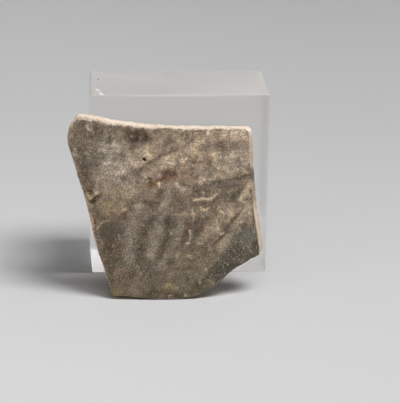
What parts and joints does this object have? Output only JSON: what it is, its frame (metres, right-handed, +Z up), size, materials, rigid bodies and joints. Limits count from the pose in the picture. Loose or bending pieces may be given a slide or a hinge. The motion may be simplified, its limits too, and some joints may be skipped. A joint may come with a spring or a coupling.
{
  "type": "display block with leaning pottery sherd",
  "caption": "Clear acrylic display block that a slipped pottery sherd leans back against, for showing a loose fragment upright on a shelf.",
  "frame": {"origin": "centre of the block's underside, on the surface that both pieces stand on", "axes": "+X to the viewer's right, +Y from the front to the back of the block, +Z up"},
  "size_m": [0.0541, 0.0447, 0.0508],
  "materials": {
    "clear_acrylic": "polished clear cast acrylic with eased edges",
    "slipped_pottery": "fired clay with a worn dark brown slip outside and raw cream breaks"
  },
  "bodies": {
    "block": {"display_block": "clear_acrylic"},
    "sherd": {"pottery_sherd": "slipped_pottery"}
  },
  "joints": [
    {"name": "sherd_lift_off", "type": "slide", "parent": "block", "child": "sherd", "axis": [0, 0, 1], "range_m": [0, 0.06]}
  ]
}
